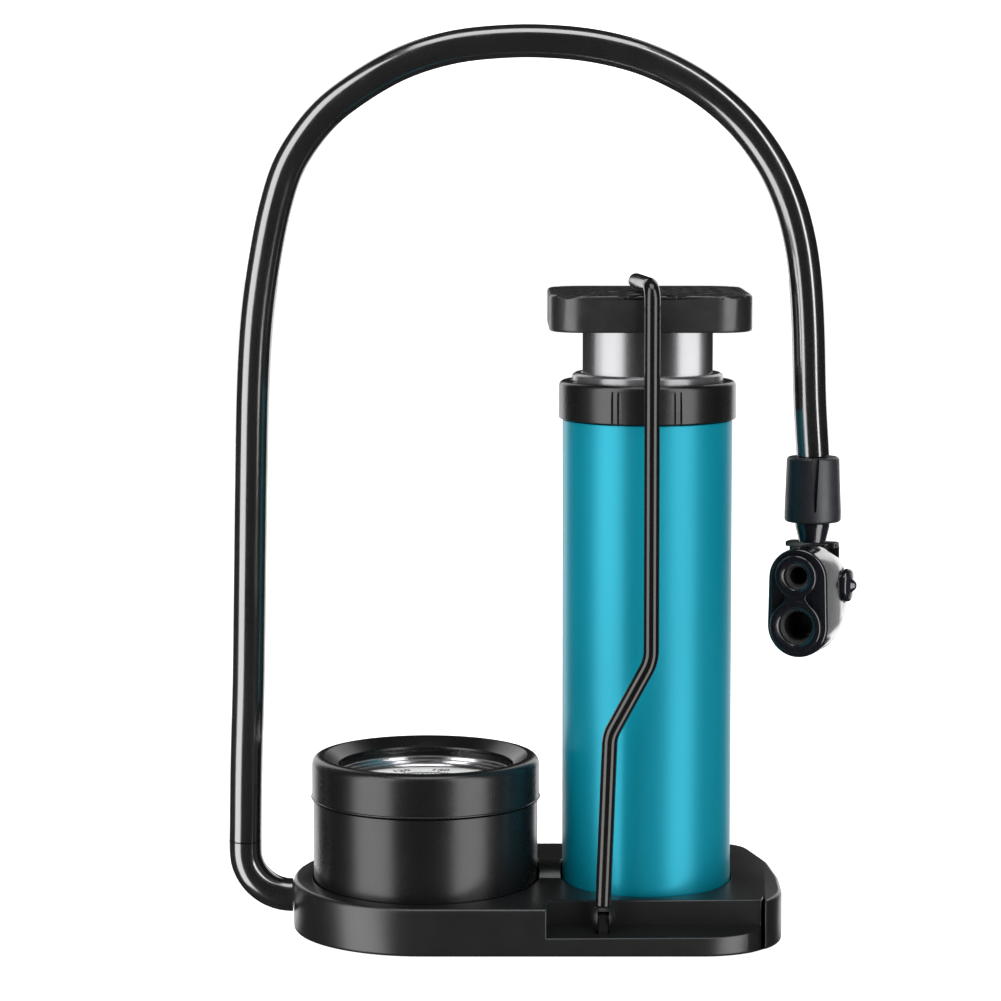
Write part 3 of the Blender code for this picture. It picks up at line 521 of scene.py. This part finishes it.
ZERO_ANGLE = -52.5
SWEEP = -261.0
INK_LOW = 39.02
INK_HIGH = 39.07
LENS_R = 23.4
PSI_FULL = 160.0
PSI_PER_BAR = 14.504


def dial_angle(share):
    """Angle in degrees of a share of the scale, from the zero mark clockwise."""
    return ZERO_ANGLE + SWEEP * share


def dial_band(name, r_in, r_out, first, last, steps):
    """Flat printed arc between two shares of the scale."""
    start = dial_angle(first)
    end = dial_angle(last)
    outline = arc((0, 0), r_out, start, end, steps) + arc((0, 0), r_in, end, start, steps)
    return slab(name, outline, INK_LOW, INK_HIGH, INK, at(GAUGE))


def dial_ticks(name, marks, mat):
    """Printed ticks, each given as (share, inner radius, outer radius, width)."""
    bm = bmesh.new()
    for share, r_in, r_out, width in marks:
        a = math.radians(dial_angle(share))
        along = Vector((math.cos(a), math.sin(a), 0.0))
        across = Vector((-along.y, along.x, 0.0)) * (width / 2)
        corners = [along * r_in - across, along * r_out - across,
                   along * r_out + across, along * r_in + across]
        low = [bm.verts.new(c + Vector((0, 0, INK_LOW))) for c in corners]
        high = [bm.verts.new(c + Vector((0, 0, INK_HIGH))) for c in corners]
        bm.faces.new(low[::-1])
        bm.faces.new(high)
        for k in range(4):
            n = (k + 1) % 4
            bm.faces.new((low[k], low[n], high[n], high[k]))
    return finished(name, bm, mat, at(GAUGE))


def dial_text(name, words, radius, angle, size, turn):
    """Printed words at an angle in degrees on the dial, turned by a further angle.

    The letters are filled at a thousand times their size, where the fill is exact, and then shrunk.
    """
    text = bpy.data.curves.new(name, "FONT")
    text.body = words
    text.size = size
    text.align_x = "CENTER"
    text.align_y = "CENTER"
    text.offset = 0.02 * size
    text.extrude = (INK_HIGH - INK_LOW) / 2
    text.materials.append(INK)
    obj = bpy.data.objects.new(name, text)
    bpy.context.scene.collection.objects.link(obj)
    a = math.radians(angle)
    middle = (GAUGE[0] + radius * math.cos(a), radius * math.sin(a), (INK_LOW + INK_HIGH) / 2)
    obj.matrix_world = at(middle, a + math.radians(turn))
    solid = meshed(obj)
    solid.data.transform(Matrix.Scale(MM, 4))
    return solid


def build_dial_print():
    """Two scales with their figures on end, and brackets that lead from them to the unit names."""
    psi_line, psi_hook = LENS_R * 0.657, LENS_R * 0.75
    bar_line, bar_hook = LENS_R * 0.625, LENS_R * 0.53
    pieces = []
    marks = []
    for name, line, hook in (("psi", psi_line, psi_hook), ("bar", bar_line, bar_hook)):
        pieces.append(dial_band(f"dial_arc_{name}", line - 0.12, line + 0.12, -0.08, 1.11, 110))
        for end, first, last in (("low", -0.105, -0.08), ("high", 1.11, 1.135)):
            pieces.append(dial_band(f"dial_hook_{name}_{end}", hook - 0.12, hook + 0.12, first, last, 4))
            marks.append((-0.08 if end == "low" else 1.11, min(line, hook), max(line, hook), 0.24))
    for k in range(81):
        main = k % 10 == 0
        marks.append((k / 80, psi_line, LENS_R * (0.735 if main else 0.70), 0.36 if main else 0.16))
    bar_full = PSI_FULL / PSI_PER_BAR
    for k in range(56):
        main = k % 5 == 0
        marks.append((k / 5 / bar_full, LENS_R * (0.535 if main else 0.58), bar_line,
                      0.32 if main else 0.15))
    pieces.append(dial_ticks("dial_ticks", marks, INK))
    for k in range(9):
        angle = dial_angle(k / 8)
        pieces.append(dial_text(f"dial_psi_{k}", str(20 * k), LENS_R * 0.816, angle, 3.5, -90.0))
    for k in range(12):
        angle = dial_angle(k / bar_full)
        pieces.append(dial_text(f"dial_bar_{k}", str(k), LENS_R * 0.415, angle, 3.0, -90.0))
    pieces.append(dial_text("dial_unit_psi", "PSI", LENS_R * 0.716, -8.0, 2.2, 90.0))
    pieces.append(dial_text("dial_unit_bar", "BAR", LENS_R * 0.523, -7.0, 2.2, 90.0))
    for piece in pieces:
        rides(piece, "base")


def build_needle():
    side = [(17.4, 0.06), (9.0, 0.45), (4.2, 0.62), (1.4, 0.8), (-1.4, 0.7), (-3.2, 0.7), (-4.2, 1.0),
            (-6.2, 1.05), (-6.8, 0.6)]
    outline = side + [(x, -w) for x, w in reversed(side)]
    blade = slab("needle_blade", outline, 40.0, 40.5, INK, at(GAUGE, NEEDLE_TURN))
    hub = spun("tool_hub", eased([(0.0, 39.9), (2.0, 39.9), (2.0, 41.2, 0.5), (0.0, 41.2)], closed=False),
               INK, at(GAUGE), steps=40)
    carved(blade, [hub], "UNION")
    rides(blade, "needle", "gauge_needle")


# ---------------------------------------------------------------- barrel and plunger

def build_barrel():
    tube = eased([(21.0, 12.5), (22.5, 12.5, 0.2), (22.5, 137.2, 0.3), (21.0, 137.2)], steps=4)
    rides(spun("barrel_tube", tube, TEAL, at(BARREL), steps=128), "base", "barrel")
    profile = eased([(18.9, 130.0), (20.7, 130.0), (20.7, 137.5), (23.45, 137.5, 0.3), (23.45, 147.5, 1.3),
                     (20.3, 147.5, 0.35), (20.3, 145.9), (18.9, 145.9)])
    cap = spun("barrel_collar", profile, PLASTIC, at(BARREL), steps=128)
    groove = [(22.8, -0.45), (26.0, -0.45), (26.0, 0.45), (22.8, 0.45)]
    grooves = []
    for angle in (-22.8, 16.6, 157.2, 196.6):
        for side in (-2.1, 2.1):
            turn = math.radians(angle + side - 90.0)
            place = at(BARREL, turn)
            grooves.append(slab(f"tool_groove_{len(grooves)}", groove, 137.0, 145.9, PLASTIC, place))
    carved(cap, grooves)
    soften(cap, 0.18, 3, 50.0)
    rides(cap, "base", "barrel_cap")
    lip = eased([(17.4, 146.2), (20.0, 146.2), (20.0, 149.0, 0.5), (19.2, 149.6, 0.4), (17.9, 149.6, 0.3),
                 (17.4, 149.1)])
    rides(spun("plunger_wiper", lip, WIPER_GREY, at(BARREL), steps=96), "base", "wiper_ring")


PEDAL_HALF = (26.4, 27.0)


def pedal_outline(inset):
    """Plan of the pedal, a rounded square."""
    x, y = (half - inset for half in PEDAL_HALF)
    r = 10.0 - min(inset, 6.0)
    return eased([(-x, -y, r), (x, -y, r), (x, y, r), (-x, y, r)], steps=12)


def build_plunger():
    tube = eased([(15.6, 57.3), (17.25, 57.3, 0.3), (17.25, 167.0, 0.3), (15.6, 167.0)], steps=3)
    rod = rides(spun("plunger_rod", tube, CHROME, at(BARREL), steps=128), "plunger", "plunger_tube")
    rows = [(0.8, 161.6), (0.35, 161.7), (0.08, 162.0), (0.0, 162.5), (0.0, 170.3), (0.1, 170.75),
            (0.35, 171.08), (0.9, 171.3), (3.0, 171.4), (7.0, 171.6), (15.0, 171.7)]
    sections = [[(x, y, z) for x, y in pedal_outline(inset)] for inset, z in rows]
    pedal = lofted("pedal_top", sections, SATIN, at(BARREL))
    hollow = slab("tool_hollow", pedal_outline(2.4), 158.0, 168.2, SATIN, at(BARREL))
    boss = spun("tool_boss", [(0.0, 157.0), (19.6, 157.0), (19.6, 169.0), (0.0, 169.0)], SATIN, at(BARREL))
    carved(hollow, [boss])
    seat = [(0.0, 158.0), (17.55, 158.0), (17.55, 167.3), (0.0, 167.3)]
    carved(pedal, [hollow, spun("tool_socket", seat, SATIN, at(BARREL))])
    carved(pedal, tread_grooves())
    soften(pedal, 0.2, 2, 40.0)
    pedal.visible_glossy = False
    rides(pedal, "plunger", "pedal")
    return rod


def tread_grooves():
    """Two sets of slanting V grooves that leave diamonds on the pedal."""
    tools = []
    reach = 34.0
    for turn in (32.0, -32.0):
        bm = bmesh.new()
        for k in range(-5, 6):
            middle = 6.6 * k
            row = []
            for x in (-reach, reach):
                row.append([bm.verts.new((x, middle + y, z))
                            for y, z in ((-2.2, 172.6), (0.0, 170.4), (2.2, 172.6))])
            bm.faces.new(row[0])
            bm.faces.new(row[1][::-1])
            for a in range(3):
                b = (a + 1) % 3
                bm.faces.new((row[0][a], row[1][a], row[1][b], row[0][b]))
        tools.append(finished(f"tool_tread_{len(tools)}", bm, SATIN, at(BARREL, math.radians(turn))))
    return tools


def build_spring():
    """Coil under the piston, with a flat turn at each end."""
    turns, flat, radius, wire_r = 6.0, 0.8, 17.0, 1.05
    pitch = 2.15 * wire_r
    height = SPRING_HIGH - SPRING_LOW
    route = []
    for k in range(241):
        turn = turns * k / 240
        share = min(max((turn - flat) / (turns - 2 * flat), 0.0), 1.0)
        rise = pitch * (min(turn, flat) + max(0.0, turn - turns + flat))
        z = SPRING_LOW + wire_r + rise + share * (height - 2 * wire_r - 2 * flat * pitch)
        angle = 2 * math.pi * turn
        route.append((radius * math.cos(angle), radius * math.sin(angle), z))
    coil = meshed(wire("spring_coil", route, wire_r, STEEL, at(BARREL), sides=4))
    rides(coil, "base", "return_spring")
    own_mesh(coil)


# ---------------------------------------------------------------- bail

def build_bail():
    route = rounded_route([(0.0, 0.0, 3.1, 0.0), (1.7, 0.3, 47.5, 9.0), (12.3, 0.4, 67.0, 11.0),
                           (12.3, 0.4, 163.8, 4.0), (9.0, 23.0, 164.2, 0.0)])
    end = Vector(route[-1])
    ahead = (end - Vector(route[-2])).normalized()
    sizes = []
    for k in range(1, 8):
        share = k / 7
        route.append(tuple(end + ahead * 1.8 * share))
        sizes.append(math.sqrt(max(0.02, 1.0 - share ** 2)))
    rod = wire("bail_rod", route, 2.05, COATED_STEEL, at(BAIL), tip=sizes[::-1], sides=8)
    rides(rod, "bail", "bail_wire")
    ball = [(0.0, -3.3)] + arc((0, 0), 3.3, -84, 54, 20) + [(1.8, 2.8), (0.0, 2.8)]
    knuckle = spun("bail_ball", ball, DARK_NYLON, at(BAIL), steps=48)
    slot = [(-6.0, -6.0), (1.9, -6.0)] + arc((0, 0), 1.9, 0, 90, 8) + [(-6.0, 1.9)]
    tool = lofted("tool_slot", [[(x, y, z) for y, z in slot] for x in (-1.5, 1.5)], DARK_NYLON, at(BAIL))
    carved(knuckle, [tool])
    rides(knuckle, "bail", "bail_knuckle")


# ---------------------------------------------------------------- head

def head_outline():
    """Two round ends, one around each port, joined by straight sides."""
    upper = arc((0, UPPER_PORT_Z - 0.7), 8.0, 0, 180, 30)
    return upper + arc((0, LOWER_PORT_Z), 8.3, 180, 360, 30)


def head_section(y, wide, up, down):
    """The head's outline at a depth, shrunk sideways, above and below its middle."""
    middle = 92.0
    section = []
    for x, z in head_outline():
        share = up if z > middle else down
        section.append((x * wide, y, middle + (z - middle) * share))
    return section


def build_head():
    rows = [(-12.5, 0.93, 0.95, 0.97), (-12.35, 0.97, 0.975, 0.985), (-11.9, 0.995, 0.995, 0.998),
            (-11.3, 1.0, 1.0, 1.0), (-2.0, 1.0, 1.0, 0.98), (1.0, 0.985, 0.95, 0.90),
            (4.0, 0.95, 0.86, 0.78), (6.5, 0.90, 0.80, 0.66), (8.0, 0.86, 0.75, 0.58),
            (8.7, 0.82, 0.71, 0.53), (9.0, 0.76, 0.66, 0.48)]
    body = lofted("head_case", [head_section(*row) for row in rows], GLOSS, in_head())
    tools = []
    for name, r, z in (("upper", 4.2, UPPER_PORT_Z), ("lower", 5.6, LOWER_PORT_Z)):
        tools.append(spun(f"tool_port_{name}", [(0.0, -15.0), (r, -15.0), (r, -2.5), (0.0, -2.5)], GLOSS,
                          in_head((0, 0, z)), steps=48, axis="Y"))
    tools.append(spun("tool_pin_seat", [(0.0, 7.2), (4.8, 7.2), (4.8, 12.0), (0.0, 12.0)], GLOSS,
                      in_head(LEVER_PIN), steps=48, axis="X"))
    carved(body, tools)
    soften(body, 0.25, 2, 50.0)
    y, z = LEVER_PIN[1:]
    slot = [(-2.8, y - 3.0), (2.8, y - 3.0), (2.8, 20.0), (-2.8, 20.0)]
    carved(body, [slab("tool_lever_slot", slot, z - 3.2, 110.0, GLOSS, in_head())])
    pieces = [rides(body, "base", "head_body")]
    pieces.append(rides(build_port_rims(), "base", "port_ring_upper", "port_ring_lower"))
    button = [(0.0, -7.0), (1.25, -7.0), (1.25, 7.5)]
    button += eased([(1.25, 7.5), (4.4, 7.5, 0.4), (4.4, 9.2, 0.9), (1.8, 9.6, 0.5), (0.8, 10.7, 0.4),
                     (0.0, 10.8)], closed=False)[1:]
    knob = spun("lever_button", button, GLOSS, in_head(LEVER_PIN), steps=48, axis="X")
    return pieces + [rides(knob, "base", "lever_pin")]


def build_port_rims():
    """Both raised rims and the short web that makes a figure of eight of them."""
    f = FACE_Y - GAP
    rings = []
    for name, z, r_in, r_out in (("s", UPPER_PORT_Z, 3.4, 5.7), ("_lower", LOWER_PORT_Z, 4.7, 7.1)):
        rim = eased([(r_in, f), (r_in, f - 0.7, 0.3), (r_in + 0.9, f - 1.3, 0.5), (r_out, f - 1.3, 0.6),
                     (r_out, f)])
        rings.append(spun(f"port_rim{name}", rim, GLOSS, in_head((0, 0, z)), steps=64, axis="Y"))
    side = smooth_through([(3.6, 92.9, 0), (2.9, 91.4, 0), (2.9, 90.4, 0), (4.4, 88.6, 0)], 5)
    outline = [(x, z) for x, z, _ in side] + [(-x, z) for x, z, _ in reversed(side)]
    web = lofted("tool_web", [[(x, y, z) for x, z in outline] for y in (f, f - 1.15)], GLOSS, in_head())
    rims = carved(rings[0], [rings[1], web], "UNION")
    return soften(rims, 0.2, 2, 50.0)


def build_lever():
    place = in_head(LEVER_PIN)
    top = eased([(-9.9, 1.4, 0.6), (4.2, 1.4, 0.6), (4.2, 6.2, 1.4), (-9.9, 6.2, 1.4)], steps=6)
    lever = slab("valve_lever", top, 9.4, 10.8, SATIN, place)
    skirt = eased([(-9.9, 5.0), (4.2, 5.0), (4.2, 6.2, 1.0), (-9.9, 6.2, 1.0)], steps=6)
    arm = [(-2.5, -1.5), (2.5, -1.5), (2.5, 2.2), (-2.5, 2.2)]
    hub = [(0.0, -2.5), (2.5, -2.5), (2.5, 2.5), (0.0, 2.5)]
    tools = [slab("tool_skirt", skirt, 4.8, 10.0, SATIN, place),
             slab("tool_arm", arm, -0.5, 10.6, SATIN, place),
             spun("tool_lever_hub", hub, SATIN, place, steps=48, axis="X")]
    carved(lever, tools, "UNION")
    bore = [(0.0, -4.0), (1.35, -4.0), (1.35, 4.0), (0.0, 4.0)]
    carved(lever, [spun("tool_lever_bore", bore, SATIN, place, steps=32, axis="X")])
    soften(lever, 0.25, 2, 50.0)
    return rides(lever, "head_lever", "head_lever")


def build_hose_end():
    profile = eased([(0.0, 109.8), (7.5, 109.8, 0.8), (7.5, 112.5, 2.0), (6.95, 127.1, 0.9), (0.0, 127.1)],
                    closed=False)
    collar = spun("hose_grip", profile, GRIP, in_head(), steps=80)
    groove = [(-1.1, 128.0), (1.1, 128.0), (0.25, 113.0), (-0.25, 113.0)]
    tool = lofted("tool_grip_groove", [[(x, y, z) for x, z in groove] for y in (-9.0, -6.0)], GRIP,
                  at((HEAD_X, 0, 0)))
    carved(collar, [tool])
    rides(collar, "base", "hose_collar")
    neck = eased([(0.0, 104.3), (3.6, 104.3, 0.3), (3.9, 105.6, 0.6), (4.6, 108.4, 0.8), (4.6, 109.5, 0.2),
                  (0.0, 109.5)], closed=False)
    neck = spun("hose_swivel", neck, GLOSS, in_head(), steps=64)
    rides(neck, "base", "hose_neck")
    return [collar, neck]


# ---------------------------------------------------------------- stage

def glow(name, colour, strength):
    """Plain emitting material of the backdrop."""
    mat = bpy.data.materials.new(name)
    mat.use_nodes = True
    shader = shader_of(mat)
    shader.inputs["Base Color"].default_value = (*colour, 1.0)
    shader.inputs["Roughness"].default_value = 0.9
    shader.inputs["Emission Color"].default_value = (*colour, 1.0)
    shader.inputs["Emission Strength"].default_value = strength
    return mat


# Soft lights: the azimuth in degrees, from 0 on the camera's side to its right, then the distance, the height of
# the middle, the width and the height in metres, and the power in watts.
LIGHTS = {
    "left_box": (-55.0, 1.1, 0.35, 0.80, 2.6, 35.0), "right_box": (46.0, 1.1, 0.35, 0.70, 2.6, 30.0),
    "top_box": (0.0, 0.25, 1.3, 0.9, 0.6, 8.0), "back_left": (-153.0, 1.3, 0.45, 0.6, 1.6, 5.0),
    "back_right": (153.0, 1.3, 0.45, 0.6, 1.6, 5.0), "head_side": (140.0, 1.3, 0.45, 0.6, 1.6, 1.65),
    "rod_left": (-75.0, 1.1, 0.45, 1.3, 1.6, 10.5), "rod_right": (80.0, 1.1, 0.45, 1.1, 1.6, 8.9),
    "hose_right": (46.0, 1.1, 1.08, 0.22, 2.1, 13.0), "over_dial": (180.0, 0.35, 1.2, 0.5, 0.4, 7.0)}
# Lights that shine down, with their tilt in degrees; the others stand upright.
TILTS = {"top_box": 12.0, "over_dial": -16.0}


def softbox(name):
    """Soft light that faces the pump."""
    azimuth, distance, middle_z, width, height, power = LIGHTS[name]
    light = bpy.data.lights.new(name, "AREA")
    light.shape = "RECTANGLE"
    light.size = width
    light.size_y = height
    light.energy = power
    obj = bpy.data.objects.new(name, light)
    a = math.radians(azimuth)
    obj.location = (distance * math.sin(a), -distance * math.cos(a), middle_z)
    obj.rotation_euler = (math.radians(90.0), 0.0, a)
    if name in TILTS:
        obj.rotation_euler = (math.radians(TILTS[name]), 0.0, 0.0)
    bpy.context.scene.collection.objects.link(obj)
    return obj


def build_stage():
    """Camera, white floor and backdrop that don't show in reflections, and a dim world."""
    scene = bpy.context.scene
    scene.view_settings.view_transform = "Standard"
    camera = bpy.data.objects.new("camera", bpy.data.cameras.new("camera"))
    camera.data.lens = CAMERA_LENS
    camera.data.sensor_width = 36.0
    camera.data.shift_y = CAMERA_SHIFT
    camera.location = CAMERA_AT
    camera.rotation_euler = (math.pi / 2 - CAMERA_PITCH, 0.0, 0.0)
    scene.collection.objects.link(camera)
    scene.camera = camera

    bm = bmesh.new()
    bmesh.ops.create_grid(bm, x_segments=8, y_segments=8, size=4000.0)
    floor = finished("floor", bm, glow("floor_white", (0.6, 0.6, 0.6), 1.62))
    floor.visible_glossy = False
    floor.visible_shadow = False
    bm = bmesh.new()
    bmesh.ops.create_uvsphere(bm, u_segments=64, v_segments=32, radius=3800.0)
    dome = finished("backdrop", bm, glow("backdrop_white", (1.0, 1.0, 1.0), 1.1))
    dome.visible_glossy = False
    dome.visible_diffuse = False
    dome.visible_shadow = False

    world = bpy.data.worlds.new("studio")
    world.use_nodes = True
    world.node_tree.nodes["Background"].inputs["Color"].default_value = (0.032, 0.032, 0.032, 1.0)
    scene.world = world


def light_only(light, pieces):
    """The light reaches these pieces and no others."""
    chosen = bpy.data.collections.new("lit_by_" + light.name)
    light.light_linking.receiver_collection = chosen
    for obj in pieces:
        chosen.objects.link(obj)


def shade_from(light, pieces):
    """The light leaves these pieces out."""
    left_out = bpy.data.collections.new("left_out_" + light.name)
    light.light_linking.receiver_collection = left_out
    for obj in pieces:
        left_out.objects.link(obj)
    for member in left_out.collection_objects:
        member.light_linking.link_state = "EXCLUDE"


def hang_lights(head, rod, hoses, dial):
    """Some lights leave out pieces that have a light of their own."""
    lights = {name: softbox(name) for name in LIGHTS}
    shade_from(lights["left_box"], head + [rod])
    shade_from(lights["right_box"], hoses + [rod])
    shade_from(lights["back_left"], [rod])
    shade_from(lights["back_right"], [rod])
    light_only(lights["head_side"], head)
    light_only(lights["rod_left"], [rod])
    light_only(lights["rod_right"], [rod])
    light_only(lights["hose_right"], hoses)
    light_only(lights["over_dial"], dial)


def finish_cad_nodes():
    """Give the CAD nodes that show no piece of their own their materials."""
    for node, mat in FINISHES.items():
        for slot in NODES[node].material_slots:
            slot.material = mat


def build():
    finish_cad_nodes()
    build_stage()
    build_base()
    build_feet_and_screws()
    dial = build_gauge_case()
    build_dial_print()
    build_needle()
    build_barrel()
    rod = build_plunger()
    build_spring()
    build_bail()
    head = build_hose_end() + build_head()
    hoses = build_hose(head + [build_lever(), "presta_seal", "schrader_seal"])
    hang_lights(head, rod, hoses, dial)


build()
